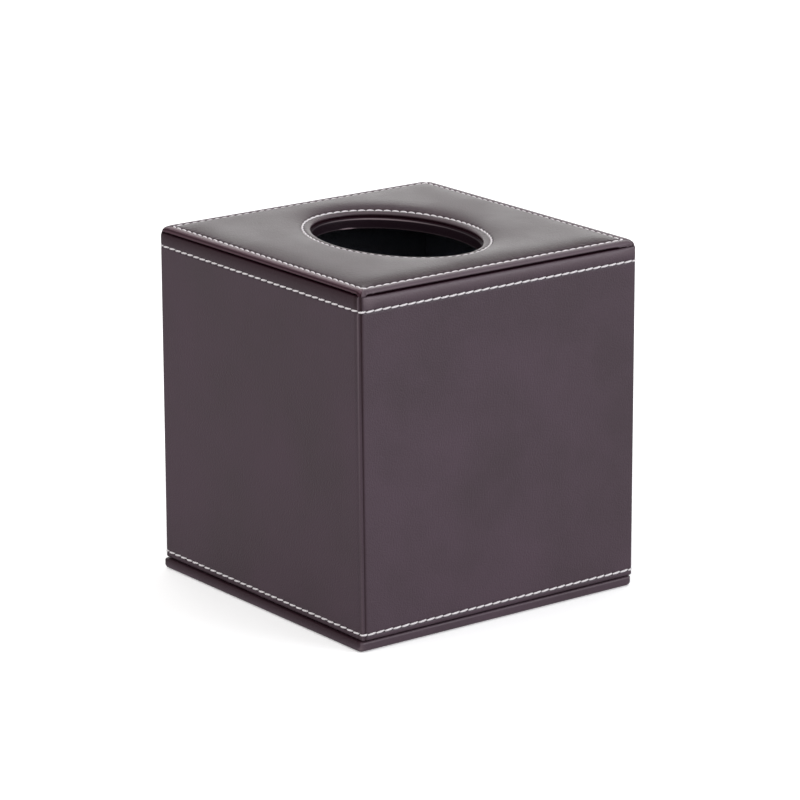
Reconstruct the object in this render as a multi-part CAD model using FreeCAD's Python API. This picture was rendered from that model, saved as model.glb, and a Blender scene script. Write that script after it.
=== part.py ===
"""Leather-covered tissue box cover with a padded top and a hinged bottom flap.

Origin at the centre of the underside, +Z up, -Y the front (the flap's free edge).
All lengths are in millimetres.
"""
import FreeCAD, Part
import math
import os

from FreeCAD import Vector

# ---- driving dimensions -------------------------------------------------------
HALF = 64.0               # centre to each outer leather face
BODY_TOP = 133.3          # top of the leather turned over the shell
BODY_BOTTOM = 4.1         # underside of the shell's leather
BASE_TOP = 3.8            # top of the closed flap
BASE_LIP = 1.3            # how far the flap stands proud at the front
BASE_EDGE_RADIUS = 1.5
BASE_TOP_EASE = 0.7       # bevel on the flap's upper edge
CORNER_RADIUS = 1.4       # vertical corners, over the leather
LEATHER = 0.8
SKIVED = 0.5              # leather pared thin where it is turned under
LINING = 0.4
WALL_BOARD = 3.0
TOP_BOARD = 3.0
BASE_BOARD = 2.2
PANEL_BOARD = 0.7

BOTTOM_STITCH = 6.45      # height of the lower stitch line on the sides
TOP_STITCH = 127.55       # height of the upper stitch line on the sides
HEM_BULGE = 0.25          # the hem stands this far proud of the side
HEM_ROUND = 1.0           # rounding of the bottom hem's lower edge
SHOULDER = 1.35           # rounding of the leather over the top edge
STITCH_SINK = 0.25        # depth of the valley along a stitch line
VALLEY = 1.2              # stitch line to the edge of its valley
BOTTOM_TURN_IN = 10.0     # leather turned up inside the walls
TOP_TURN_IN = 9.0         # leather turned over the top board
BOARD_EASE = 0.4          # bevel on the top board's upper edge, under the leather

PANEL_STITCH = 60.2       # centre to the stitch line on the padded top
PANEL_STITCH_TOP = 135.3  # height of the leather at that line
PLATEAU = 136.7           # highest part of the padded top
PUFF_WIDTH = 9.0          # width of the slope from a stitch line to the plateau
PUFF_SLOPE = ((0.4, 0.68), (1.0, 1.0))   # shares of the width and of the rise
STITCH_PINCH = 0.2        # the thread draws the leather this far down
RIM_TUCK = 0.5            # the foot of a rolled rim is tucked in this far
RIM_FOOT = 0.6            # height of the widest part of a rolled rim over its foot
RIM_CREST = 1.0           # stitch line to the crest of the rolled rim
PANEL_CORNER_RADIUS = 2.0
CORNER_DROP = 1.4         # the leather is drawn down this far at the panel's four corners
CORNER_DROP_WIDTH = 4.5   # along the diagonal
FOAM_SETBACK = 1.0        # the foam stops this far from the stitch lines

HOLE_STITCH_A = 42.3      # semi-axis along X of the oval's stitch line
HOLE_STITCH_B = 31.0      # semi-axis along Y of the oval's stitch line
HOLE_RIM = 3.1            # stitch line to the rolled rim of the oval
COLLAR_SET_IN = 0.5       # the collar below the rim is this much smaller
COLLAR_WIDTH = 9.0        # leather of the collar turned over the board
COLLAR_EASE = 0.7         # bevel on the collar's upper edge
COLLAR_GAP = 0.5          # lining to collar
PANEL_TURN_IN = 11.0      # leather turned under the padded top

MAGNET_SIZE = (12.0, WALL_BOARD, 2.0)
KEEPER_SIZE = (16.0, 5.0, 0.8)
MAGNET_SPACING = 70.0
TONGUE_HALF = 56.0        # half the width of the hinge leather
TONGUE_TOP = 10.6
TONGUE_INLAY = 0.3        # depth of the rebate that the hinge leather lies in
HINGE_GAP = 0.15          # bare crease below the hinge leather's sewn part
SEAM_WIDTH = 0.35
SEAM_DEPTH = 0.5
OVAL_TOLERANCE = 0.1      # how closely arcs follow the ellipses
SPARE = 0.3               # a blank is this much larger than what is cut from it

# ---- derived dimensions -------------------------------------------------------
BOARD_HALF = HALF - LEATHER
INNER_HALF = BOARD_HALF - WALL_BOARD
BOARD_CORNER = CORNER_RADIUS - LEATHER
BOARD_BOTTOM = BODY_BOTTOM + LEATHER
TOP_BOARD_TOP = BODY_TOP - LEATHER
WALL_TOP = TOP_BOARD_TOP - TOP_BOARD
TURN_IN_TOP = BODY_BOTTOM + BOTTOM_TURN_IN
PANEL_BOARD_BOTTOM = BODY_TOP + SKIVED
PANEL_BOARD_TOP = PANEL_BOARD_BOTTOM + PANEL_BOARD
RIM_A = HOLE_STITCH_A - HOLE_RIM
RIM_B = HOLE_STITCH_B - HOLE_RIM
COLLAR_A = RIM_A - COLLAR_SET_IN
COLLAR_B = RIM_B - COLLAR_SET_IN
BASE_FRONT = -HALF - BASE_LIP
BASE_BOARD_BOTTOM = LEATHER
BASE_BOARD_TOP = BASE_BOARD_BOTTOM + BASE_BOARD
BASE_TURN_IN = 12.0


# ---- helpers ------------------------------------------------------------------
def box(x0, x1, y0, y1, z0, z1):
    """Block between two opposite corners."""
    return Part.makeBox(x1 - x0, y1 - y0, z1 - z0, Vector(x0, y0, z0))


def rounded_block(x0, x1, y0, y1, z0, z1, radius):
    """Block with its four upright edges rounded."""
    block = box(x0, x1, y0, y1, z0, z1)
    upright = [edge for edge in block.Edges if abs(edge.BoundBox.ZLength - (z1 - z0)) < 1e-6
               and edge.BoundBox.XLength < 1e-6 and edge.BoundBox.YLength < 1e-6]
    return block.makeFillet(radius, upright)


def around_square(section, half, radius):
    """Solid made by carrying a closed XZ section round a square with rounded corners. The section
    lies outside the corners' axes, which are radius inside half."""
    flat = half - radius
    side = Part.Face(section).extrude(Vector(0, 2 * flat, 0))
    side.translate(Vector(0, -flat, 0))
    corner_face = Part.Face(section)
    corner_face.translate(Vector(0, flat, 0))
    corner = corner_face.revolve(Vector(flat, flat, 0), Vector(0, 0, 1), 90)
    pieces = []
    for turn in range(4):
        for piece in (side, corner):
            turned = piece.copy()
            turned.rotate(Vector(0, 0, 0), Vector(0, 0, 1), 90 * turn)
            pieces.append(turned)
    return pieces[0].fuse(pieces[1:]).removeSplitter()


def oval_prism(semi_a, semi_b, z0, z1):
    """Upright elliptical prism."""
    ellipse = Part.Ellipse(Vector(0, 0, 0), semi_a, semi_b)
    face = Part.Face(Part.Wire([ellipse.toShape()]))
    face.translate(Vector(0, 0, z0))
    return face.extrude(Vector(0, 0, z1 - z0))


def profile(*pieces):
    """Closed profile in the XZ plane. A piece is an (x, z) corner, or a list of three (x, z)
    points that an arc passes through."""
    edges = []
    first = None
    last = None
    for piece in pieces:
        points = [Vector(x, 0, z) for x, z in (piece if isinstance(piece, list) else [piece])]
        if last is None:
            first = points[0]
        elif last.distanceToPoint(points[0]) > 1e-6:
            edges.append(Part.makeLine(last, points[0]))
        if len(points) == 3:
            edges.append(Part.Arc(*points).toShape())
        last = points[-1]
    edges.append(Part.makeLine(last, first))
    return Part.Wire(edges)


def rounding(x, z, radius):
    """Points for profile() that round off an outer edge at (x, z) in two bevels, from the
    horizontal face to the upright one."""
    inward = math.copysign(1, HALF - z)
    cut = radius * (1 - math.sqrt(0.5))
    return [(x - radius, z), (x - cut, z + inward * cut), (x, z + inward * radius)]


def around_oval(section, semi_a, semi_b):
    """Solid made by carrying a closed XZ section, drawn at the +X end of an oval, round the oval.
    The oval is followed in arcs, so that every piece is turned about its own centre."""
    pieces = []
    for arc in Part.Ellipse(Vector(0, 0, 0), semi_a, semi_b).toBSpline().toBiArcs(OVAL_TOLERANCE):
        start = arc.StartPoint
        outward = start - arc.Center
        face = Part.Face(section)
        face.translate(Vector(-semi_a, 0, 0))
        face.rotate(Vector(0, 0, 0), Vector(0, 0, 1), math.degrees(math.atan2(outward.y, outward.x)))
        face.translate(start)
        sweep_angle = math.degrees(arc.LastParameter - arc.FirstParameter)
        pieces.append(face.revolve(arc.Center, Vector(0, 0, 1), sweep_angle))
    return pieces[0].fuse(pieces[1:]).removeSplitter()


def save(shape, node):
    """Write one node to its own file."""
    if not shape.isValid():
        raise ValueError(node + " is not a valid shape")
    shape.exportStep("parts/" + node + ".step")


# ---- shell: boards ------------------------------------------------------------
def magnet_notches():
    """Room for the closing magnets in the lower edge of the front wall."""
    length, depth, height = MAGNET_SIZE
    return [box(x - length / 2, x + length / 2, -BOARD_HALF, -BOARD_HALF + depth,
                BOARD_BOTTOM, BOARD_BOTTOM + height)
            for x in (-MAGNET_SPACING / 2, MAGNET_SPACING / 2)]


def front_wall_board():
    """Board across the front, with its outer corners eased under the leather."""
    board = end_wall_board()
    for notch in magnet_notches():
        board = board.cut(notch)
    return board


def end_wall_board():
    """Board across the full width at the front, lapping over the side boards."""
    core = rounded_block(-BOARD_HALF, BOARD_HALF, -BOARD_HALF, BOARD_HALF,
                         BOARD_BOTTOM, WALL_TOP, BOARD_CORNER)
    strip = box(-HALF, HALF, -HALF, -INNER_HALF, 0, BODY_TOP)
    return core.common(strip)


def back_wall_board():
    """The same board turned to the back."""
    board = end_wall_board()
    board.rotate(Vector(0, 0, 0), Vector(0, 0, 1), 180)
    return board


def side_wall_board(side):
    """Board between the front and back boards; side is -1 for left and 1 for right."""
    inner, outer = sorted((side * INNER_HALF, side * BOARD_HALF))
    return box(inner, outer, -INNER_HALF, INNER_HALF, BOARD_BOTTOM, WALL_TOP)


def top_board():
    """Board that closes the top, with the oval cut through and its edges eased."""
    plate = rounded_block(-BOARD_HALF, BOARD_HALF, -BOARD_HALF, BOARD_HALF,
                          WALL_TOP, TOP_BOARD_TOP, BOARD_CORNER)
    rim = [edge for edge in plate.Edges if edge.BoundBox.ZMin > TOP_BOARD_TOP - 1e-6]
    plate = plate.makeChamfer(BOARD_EASE, rim)
    return plate.cut(oval_prism(COLLAR_A + LEATHER, COLLAR_B + LEATHER, WALL_TOP - 1, TOP_BOARD_TOP + 1))


# ---- shell: leather -----------------------------------------------------------
def side_leather():
    """One piece of leather round the four sides, turned over the top board and up inside the
    walls. It sinks along both stitch lines and swells in the hems beyond them."""
    sleeve = around_square(sleeve_section(), HALF, CORNER_RADIUS)
    sleeve = sleeve.fuse([top_turn_in(), bottom_turn_in()]).removeSplitter()
    sleeve = sleeve.cut(tongue_rebate())
    return sleeve.cut(corner_seam())


def sleeve_section():
    """Section of the upright leather, from the bottom edge to the top edge."""
    hem = HALF + HEM_BULGE
    valley = HALF - STITCH_SINK
    inner = BOARD_HALF - BOARD_EASE
    return profile(
        (inner, BODY_BOTTOM),
        *rounding(hem, BODY_BOTTOM, HEM_ROUND),
        (hem, BOTTOM_STITCH - VALLEY / 2),
        (valley, BOTTOM_STITCH),
        (HALF, BOTTOM_STITCH + VALLEY),
        (HALF, TOP_STITCH - VALLEY),
        (valley, TOP_STITCH),
        (hem, TOP_STITCH + VALLEY),
        *reversed(rounding(hem, BODY_TOP, SHOULDER)),
        (inner, BODY_TOP),
        (inner, TOP_BOARD_TOP),
        (BOARD_HALF, TOP_BOARD_TOP - BOARD_EASE),
        (BOARD_HALF, BOARD_BOTTOM),
        (inner, BOARD_BOTTOM),
    )


def leather_frame(outer, inner, z0, z1):
    """Flat square frame of leather between two half-widths."""
    plate = rounded_block(-outer, outer, -outer, outer, z0, z1, BOARD_CORNER * 0.5)
    return plate.cut(box(-inner, inner, -inner, inner, z0 - 1, z1 + 1))


def top_turn_in():
    """Leather turned over the top board."""
    return leather_frame(BOARD_HALF - BOARD_CORNER * 0.5, BOARD_HALF - TOP_TURN_IN, TOP_BOARD_TOP, BODY_TOP)


def bottom_turn_in():
    """Leather turned under the walls and up inside them."""
    under = leather_frame(BOARD_HALF - BOARD_CORNER * 0.5, INNER_HALF - SKIVED, BODY_BOTTOM, BOARD_BOTTOM)
    inside = leather_frame(INNER_HALF, INNER_HALF - SKIVED, BODY_BOTTOM, TURN_IN_TOP)
    return under.fuse(inside)


def tongue_rebate():
    """Space pared out of the back hem where the hinge leather is laid in."""
    return box(-TONGUE_HALF, TONGUE_HALF, HALF - TONGUE_INLAY, HALF + 1, BODY_BOTTOM - 1, TONGUE_TOP)


def corner_seam():
    """Narrow joint between the two ends of the side leather, just past the front right corner."""
    y = -HALF + CORNER_RADIUS
    return box(HALF - SEAM_DEPTH, HALF + 1, y, y + SEAM_WIDTH, BODY_BOTTOM - 1, BODY_TOP - 1)


def hinge_tongue():
    """The flap's leather where it is laid into the back hem and sewn down. Its surface sinks
    along the stitch line like the rest of the hem."""
    inner = HALF - TONGUE_INLAY
    outer = HALF + HEM_BULGE
    foot = BODY_BOTTOM + HINGE_GAP
    section = profile(
        (inner, foot),
        (outer, foot),
        (outer, BOTTOM_STITCH - VALLEY / 2),
        (HALF, BOTTOM_STITCH),
        (outer, BOTTOM_STITCH + VALLEY),
        (outer, TONGUE_TOP - SKIVED),
        (inner + SKIVED / 2, TONGUE_TOP),
        (inner, TONGUE_TOP),
    )
    tongue = Part.Face(section).extrude(Vector(0, 2 * TONGUE_HALF, 0))
    tongue.rotate(Vector(0, 0, 0), Vector(0, 0, 1), 90)
    tongue.translate(Vector(TONGUE_HALF, 0, 0))
    return tongue


def opening_collar():
    """Leather that wraps the edge of the oval in the top board."""
    inner = COLLAR_A
    outer = COLLAR_A + COLLAR_WIDTH
    low = WALL_TOP - SKIVED
    section = profile(
        (outer, BODY_TOP),
        (outer, TOP_BOARD_TOP),
        (inner + LEATHER, TOP_BOARD_TOP),
        (inner + LEATHER, WALL_TOP),
        (outer, WALL_TOP),
        (outer, low),
        (inner, low),
        (inner, BODY_TOP - COLLAR_EASE),
        (inner + COLLAR_EASE, BODY_TOP),
    )
    return around_oval(section, COLLAR_A, COLLAR_B)


# ---- padded top ---------------------------------------------------------------
def padded_form(inset):
    """Block bounded by the padded top's outside, moved inward by inset: a square pillow with a
    sewn rim, and an oval hole whose sewn rim rolls down to the edge."""
    half = HALF - inset
    floor = BODY_TOP - inset
    top = PLATEAU - inset
    sewn = PANEL_STITCH_TOP - inset
    radius = PANEL_CORNER_RADIUS - inset + SPARE / (1 - math.sqrt(0.5))
    blank = half + SPARE
    block = rounded_block(-blank, blank, -blank, blank, floor, top, radius)
    off_side = Part.Face(outer_slope(half, floor, sewn, top)).extrude(Vector(0, 2 * blank, 0))
    off_side.translate(Vector(0, -blank, 0))
    for turn in range(4):
        off_side.rotate(Vector(0, 0, 0), Vector(0, 0, 1), 90)
        block = block.cut(off_side)
    for turn in range(4):
        off_corner = corner_slope(inset)
        off_corner.rotate(Vector(0, 0, 0), Vector(0, 0, 1), 45 + 90 * turn)
        block = block.cut(off_corner)
    rim_a = RIM_A + inset
    rim_b = RIM_B + inset
    block = block.cut(oval_prism(rim_a - 2, rim_b - 2, floor - 1, top + 1))
    return block.cut(around_oval(hole_slope(rim_a, floor, sewn, top), rim_a, rim_b))


def puffed_slope(sewn, top):
    """Distances from a stitch line and heights of the leather that swells up from it."""
    return [(width * PUFF_WIDTH, sewn + rise * (top - sewn)) for width, rise in PUFF_SLOPE]


def outer_slope(half, floor, sewn, top):
    """Section of what is taken off outside the pillow: puffed slope, sewn valley, rolled rim."""
    stitch = PANEL_STITCH
    beyond = HALF + PANEL_CORNER_RADIUS
    swell = [(stitch - distance, height) for distance, height in puffed_slope(sewn, top)]
    return profile(
        (half - RIM_TUCK, floor),
        [(half, floor + RIM_FOOT), (half - RIM_CREST, sewn - STITCH_PINCH * 2), (stitch + RIM_CREST, sewn)],
        (stitch, sewn - STITCH_PINCH),
        *swell,
        (stitch - PUFF_WIDTH, top + 2),
        (beyond, top + 2),
        (beyond, floor - 2),
        (half - RIM_TUCK, floor - 2),
    )


def corner_slope(inset):
    """What is taken off over a corner of the pillow, drawn along X and turned to its diagonal."""
    tip = (HALF - PANEL_CORNER_RADIUS) * math.sqrt(2) + PANEL_CORNER_RADIUS - inset
    crest = PANEL_STITCH_TOP - inset
    shoulder = (tip - CORNER_DROP_WIDTH * 0.35, crest - CORNER_DROP * 0.4)
    section = profile(
        [(tip - CORNER_DROP_WIDTH, crest), shoulder, (tip, crest - CORNER_DROP)],
        (tip + SPARE * 2, crest - CORNER_DROP),
        (tip + SPARE * 2, PLATEAU),
        (tip - CORNER_DROP_WIDTH, PLATEAU),
    )
    slope = Part.Face(section).extrude(Vector(0, 4 * CORNER_DROP_WIDTH, 0))
    slope.translate(Vector(0, -2 * CORNER_DROP_WIDTH, 0))
    return slope


def hole_slope(rim, floor, sewn, top):
    """Section of what is taken off round the hole: rolled rim, sewn valley, puffed slope."""
    stitch = HOLE_STITCH_A
    swell = [(stitch + distance, height) for distance, height in puffed_slope(sewn, top)]
    return profile(
        (rim + RIM_TUCK, floor),
        (rim, floor + RIM_FOOT),
        (rim + RIM_TUCK, sewn - STITCH_PINCH * 3),
        (stitch - RIM_CREST, sewn),
        (stitch, sewn - STITCH_PINCH),
        *swell,
        (stitch + PUFF_WIDTH, top + 2),
        (rim - 4, top + 2),
        (rim - 4, floor - 2),
        (rim + RIM_TUCK, floor - 2),
    )


def top_panel_board():
    """Thin board inside the padded top, cut back so that the leather rolls round its edges."""
    half = HALF - 2 * LEATHER
    plate = rounded_block(-half, half, -half, half, PANEL_BOARD_BOTTOM, PANEL_BOARD_TOP, PANEL_CORNER_RADIUS)
    return plate.cut(oval_prism(RIM_A + 2 * LEATHER, RIM_B + 2 * LEATHER,
                                PANEL_BOARD_BOTTOM - 1, PANEL_BOARD_TOP + 1))


def top_panel_foam():
    """Foam pad between the two stitch lines, tapering to nothing at both."""
    pad = padded_form(LEATHER)
    half = PANEL_STITCH - FOAM_SETBACK
    between = rounded_block(-half, half, -half, half, PANEL_BOARD_TOP, PLATEAU, PANEL_CORNER_RADIUS)
    between = between.cut(oval_prism(HOLE_STITCH_A + FOAM_SETBACK, HOLE_STITCH_B + FOAM_SETBACK,
                                     PANEL_BOARD_TOP - 1, PLATEAU + 1))
    return pad.common(between)


def top_panel_leather():
    """Leather drawn over the foam and board and turned under both edges."""
    skin = padded_form(0)
    inside = top_panel_board().fuse(top_panel_foam()).removeSplitter()
    window_half = HALF - PANEL_TURN_IN
    window = rounded_block(-window_half, window_half, -window_half, window_half,
                           BODY_TOP - 1, PANEL_BOARD_BOTTOM, PANEL_CORNER_RADIUS)
    around_hole = oval_prism(RIM_A + PANEL_TURN_IN, RIM_B + PANEL_TURN_IN,
                             BODY_TOP - 2, PANEL_BOARD_BOTTOM + 1)
    return skin.cut(inside).cut(window.cut(around_hole))


# ---- lining -------------------------------------------------------------------
def wall_lining(turn):
    """Flannel on the inside of one wall, from the turned-in leather up to the top lining."""
    half = INNER_HALF if turn % 2 == 0 else INNER_HALF - LINING
    sheet = box(-half, half, -INNER_HALF, -INNER_HALF + LINING, TURN_IN_TOP, WALL_TOP - LINING)
    sheet.rotate(Vector(0, 0, 0), Vector(0, 0, 1), 90 * turn)
    return sheet


def top_lining():
    """Flannel under the top board, round the collar."""
    sheet = box(-INNER_HALF, INNER_HALF, -INNER_HALF, INNER_HALF, WALL_TOP - LINING, WALL_TOP)
    clear = COLLAR_WIDTH + COLLAR_GAP
    return sheet.cut(oval_prism(COLLAR_A + clear, COLLAR_B + clear, WALL_TOP - 2, WALL_TOP + 1))


# ---- magnets ------------------------------------------------------------------
def wall_magnets():
    """Two bar magnets that fill the notches in the front wall."""
    return Part.makeCompound(magnet_notches())


def keeper_plates():
    """Two steel plates let into the flap under the magnets."""
    length, width, height = KEEPER_SIZE
    y = -BOARD_HALF + MAGNET_SIZE[1] / 2
    return Part.makeCompound([box(x - length / 2, x + length / 2, y - width / 2, y + width / 2,
                                  BASE_BOARD_TOP - height, BASE_BOARD_TOP)
                              for x in (-MAGNET_SPACING / 2, MAGNET_SPACING / 2)])


# ---- bottom flap --------------------------------------------------------------
def flap_block(inset, z0, z1, radius):
    """Plan of the flap moved inward by inset, between two heights."""
    return rounded_block(-HALF + inset, HALF - inset, BASE_FRONT + inset, HALF - inset, z0, z1, radius)


def base_board():
    """Board of the flap, with two recesses for the steel plates."""
    plate = flap_block(LEATHER, BASE_BOARD_BOTTOM, BASE_BOARD_TOP, CORNER_RADIUS)
    return plate.cut(keeper_plates())


def base_leather():
    """Leather drawn round the flap from below and turned over its top."""
    skin = flap_block(0, 0, BASE_TOP, CORNER_RADIUS + LEATHER)
    lower = [edge for edge in skin.Edges if edge.BoundBox.ZMax < 1e-6]
    skin = skin.makeFillet(BASE_EDGE_RADIUS, lower)
    upper = [edge for edge in skin.Edges if edge.BoundBox.ZMin > BASE_TOP - 1e-6]
    skin = skin.makeChamfer(BASE_TOP_EASE, upper)
    skin = skin.cut(base_board().fuse(keeper_plates()))
    return skin.cut(flap_block(BASE_TURN_IN, BASE_BOARD_TOP, BASE_TOP + 1, CORNER_RADIUS))


def base_lining():
    """Flannel on the flap, inside the turned-over leather."""
    return flap_block(BASE_TURN_IN, BASE_BOARD_TOP, BASE_BOARD_TOP + LINING, CORNER_RADIUS)


# ---- build --------------------------------------------------------------------
NODES = {
    "front_wall_board": front_wall_board(),
    "back_wall_board": back_wall_board(),
    "left_wall_board": side_wall_board(-1),
    "right_wall_board": side_wall_board(1),
    "top_board": top_board(),
    "side_leather": side_leather(),
    "hinge_tongue": hinge_tongue(),
    "opening_collar": opening_collar(),
    "top_panel_board": top_panel_board(),
    "top_panel_foam": top_panel_foam(),
    "top_panel_leather": top_panel_leather(),
    "front_lining": wall_lining(0),
    "right_lining": wall_lining(1),
    "back_lining": wall_lining(2),
    "left_lining": wall_lining(3),
    "top_lining": top_lining(),
    "wall_magnets": wall_magnets(),
    "base_board": base_board(),
    "base_leather": base_leather(),
    "base_lining": base_lining(),
    "keeper_plates": keeper_plates(),
}

os.makedirs("parts", exist_ok=True)
for name, solid in NODES.items():
    save(solid, name)
    print(name, len(solid.Solids), round(solid.Volume, 1), solid.BoundBox)
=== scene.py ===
"""Tissue box cover in brown leather, with a stitched, padded top and a flap underneath."""
import bisect
import bmesh
import bpy
import math
from mathutils import Matrix, Vector, noise


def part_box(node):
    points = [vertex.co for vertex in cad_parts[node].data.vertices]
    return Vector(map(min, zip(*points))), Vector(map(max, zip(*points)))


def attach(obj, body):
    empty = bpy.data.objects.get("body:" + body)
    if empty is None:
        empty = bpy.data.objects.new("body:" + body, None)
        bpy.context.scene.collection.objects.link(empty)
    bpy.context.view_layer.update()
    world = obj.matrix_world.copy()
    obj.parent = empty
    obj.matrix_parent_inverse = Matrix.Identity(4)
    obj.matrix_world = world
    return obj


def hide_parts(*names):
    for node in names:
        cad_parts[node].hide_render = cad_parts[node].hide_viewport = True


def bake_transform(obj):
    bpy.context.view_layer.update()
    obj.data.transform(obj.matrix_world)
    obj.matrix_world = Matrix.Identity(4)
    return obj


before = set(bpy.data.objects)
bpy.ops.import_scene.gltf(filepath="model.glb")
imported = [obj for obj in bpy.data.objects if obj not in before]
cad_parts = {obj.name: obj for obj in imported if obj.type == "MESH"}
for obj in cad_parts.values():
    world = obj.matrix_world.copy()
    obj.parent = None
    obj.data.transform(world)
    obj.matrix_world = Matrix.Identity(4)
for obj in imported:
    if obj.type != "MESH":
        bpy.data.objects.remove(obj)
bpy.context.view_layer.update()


# ---- camera ----
# It stands far off on the right, a little above the lid, behind a long lens.
MM = 0.001
FOCAL_PIXELS = 4113.8
FRAME_PIXELS = 800
CAMERA_AIM = Vector((0, 0, 64 * MM))
CAMERA_REACH = 1563.5 * MM
OFF_AIM_RIGHT, OFF_AIM_UP = 1.205 * MM, 5.83 * MM
azimuth, elevation, roll = math.radians(52.9208), math.radians(15.8552), math.radians(-0.18)
back = Vector((math.sin(azimuth) * math.cos(elevation), -math.cos(azimuth) * math.cos(elevation),
               math.sin(elevation)))
level_right = Vector((math.cos(azimuth), math.sin(azimuth), 0))
level_up = back.cross(level_right)
right = math.cos(roll) * level_right + math.sin(roll) * level_up
up = -math.sin(roll) * level_right + math.cos(roll) * level_up
camera_data = bpy.data.cameras.new("camera")
camera_data.sensor_width = 36
camera_data.lens = FOCAL_PIXELS * camera_data.sensor_width / FRAME_PIXELS
camera_data.clip_start, camera_data.clip_end = 0.05, 50
camera = bpy.data.objects.new("camera", camera_data)
camera_place = CAMERA_AIM + CAMERA_REACH * back + OFF_AIM_RIGHT * right + OFF_AIM_UP * up
camera_turn = Matrix((right, up, back)).transposed().to_4x4()
camera.matrix_world = Matrix.Translation(camera_place) @ camera_turn
bpy.context.collection.objects.link(camera)
bpy.context.scene.camera = camera


# ---- boards of the shell and the flap ----
# Four walls, a top and the flap's core, sawn from fibreboard and glued at butt joints.
# Leather and lining cover them on every side.
def new_material(name):
    """Empty node material with its Principled shader and Object coordinates."""
    material = bpy.data.materials.new(name)
    material.use_nodes = True
    shader = material.node_tree.nodes["Principled BSDF"]
    coordinates = material.node_tree.nodes.new("ShaderNodeTexCoord")
    return material, material.node_tree, shader, coordinates.outputs["Object"]


def dress(node, material):
    """Gives a carried-over solid its material."""
    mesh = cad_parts[node].data
    mesh.materials.clear()
    mesh.materials.append(material)


def fine_noise(tree, position, scale, detail):
    """Noise of a scale per metre on Object coordinates."""
    texture = tree.nodes.new("ShaderNodeTexNoise")
    texture.inputs["Scale"].default_value = scale
    texture.inputs["Detail"].default_value = detail
    tree.links.new(position, texture.inputs["Vector"])
    return texture.outputs["Fac"]


def two_tones(tree, shader, value, dark, pale, spread=(0, 1)):
    """Colours the shader from dark to pale as a texture's value goes over the spread."""
    ramp = tree.nodes.new("ShaderNodeValToRGB")
    for stop, tone, position in zip(ramp.color_ramp.elements, (dark, pale), spread):
        stop.color = (*tone, 1)
        stop.position = position
    tree.links.new(value, ramp.inputs["Fac"])
    tree.links.new(ramp.outputs["Color"], shader.inputs["Base Color"])


fibreboard, tree, shader, position = new_material("fibreboard")
fibres = fine_noise(tree, position, 900, 6)
two_tones(tree, shader, fibres, (0.27, 0.18, 0.10), (0.50, 0.37, 0.24), spread=(0.3, 0.7))
shader.inputs["Roughness"].default_value = 0.85
for board in ("front_wall_board", "back_wall_board", "left_wall_board", "right_wall_board",
              "top_board", "base_board"):
    dress(board, fibreboard)


# ---- leather of the sides ----
# One sleeve of brown coated leather, glued round the walls and joined edge to edge beside the
# front right corner. It is turned over the top board and up inside the walls, and a line of
# lockstitch near each end draws it down, so that the hems beyond swell a little.
HALF = 64.0
CORNER = 1.4
SIDE_LENGTH = 2 * (HALF - CORNER) + CORNER * math.pi / 2
SIDE_POINTS = 296
CORNER_POINTS = 6
BODY_TOP = 133.3
BODY_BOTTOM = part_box("side_leather")[0].z / MM
LOW_LINE, HIGH_LINE = 6.45, 127.55
STITCHES_LOW = (33, 32, 33, 32)
STITCHES_HIGH = (34, 32, 34, 32)
SHOULDER = 130.5
SHOULDER_SLANT, LINE_SLANT = 0.4, 0.28
SEAM_REACH = 12
SEAM_OFF, SEAM_LEAN, SEAM_JOG = 1.1, 0.0112, 0.28


def worked_out(tree, operation, *values):
    """Output of a Math node. Each value is a number, or the output of another node."""
    sum_node = tree.nodes.new("ShaderNodeMath")
    sum_node.operation = operation
    for socket, value in zip(sum_node.inputs, values):
        if isinstance(value, bpy.types.NodeSocket):
            tree.links.new(value, socket)
        else:
            socket.default_value = value
    return sum_node.outputs["Value"]


def mixed(tree, share, first, second):
    """Output of a colour Mix node. Each colour is a triple, or the output of another node."""
    mix = tree.nodes.new("ShaderNodeMix")
    mix.data_type = "RGBA"
    tree.links.new(share, mix.inputs["Factor"])
    for label, colour in (("A", first), ("B", second)):
        if isinstance(colour, bpy.types.NodeSocket):
            tree.links.new(colour, mix.inputs[label])
        else:
            mix.inputs[label].default_value = (*colour, 1)
    return mix.outputs["Result"]


def raised(tree, shader, height, depth, strength=1.0):
    """Bumps the shader by a texture's value, to a depth in metres."""
    bump = tree.nodes.new("ShaderNodeBump")
    bump.inputs["Distance"].default_value = depth
    bump.inputs["Strength"].default_value = strength
    tree.links.new(height, bump.inputs["Height"])
    tree.links.new(bump.outputs["Normal"], shader.inputs["Normal"])


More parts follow.
